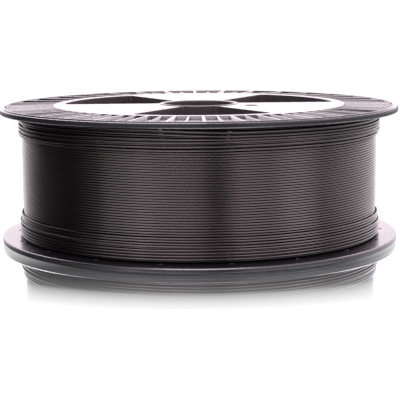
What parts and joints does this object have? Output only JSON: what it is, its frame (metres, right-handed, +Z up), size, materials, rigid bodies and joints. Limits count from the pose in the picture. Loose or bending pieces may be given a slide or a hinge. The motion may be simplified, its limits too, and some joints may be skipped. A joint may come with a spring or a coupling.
{
  "type": "filament spool",
  "caption": "Wide flanged spool with a bored hub, three windows and a ribbed rim band in each flange, fully wound with plastic filament.",
  "frame": {"origin": "centre of the lower hub lip, the face that the spool stands on", "axes": "+Z up along the bore's axis; -Y points to the middle of one window; the drive holes lie at 330 degrees from +X towards +Y"},
  "size_m": [0.3, 0.3, 0.103],
  "materials": {
    "spool_plastic": "satin moulded black",
    "filament": "satin extruded strand, very dark brown"
  },
  "bodies": {
    "root": {"lower_half": "spool_plastic", "upper_half": "spool_plastic", "filament_pack": "filament", "filament_layer_lower": "filament", "filament_layer_upper": "filament", "filament_upper_turns": "filament", "filament_lower_turns": "filament"}
  },
  "joints": []
}
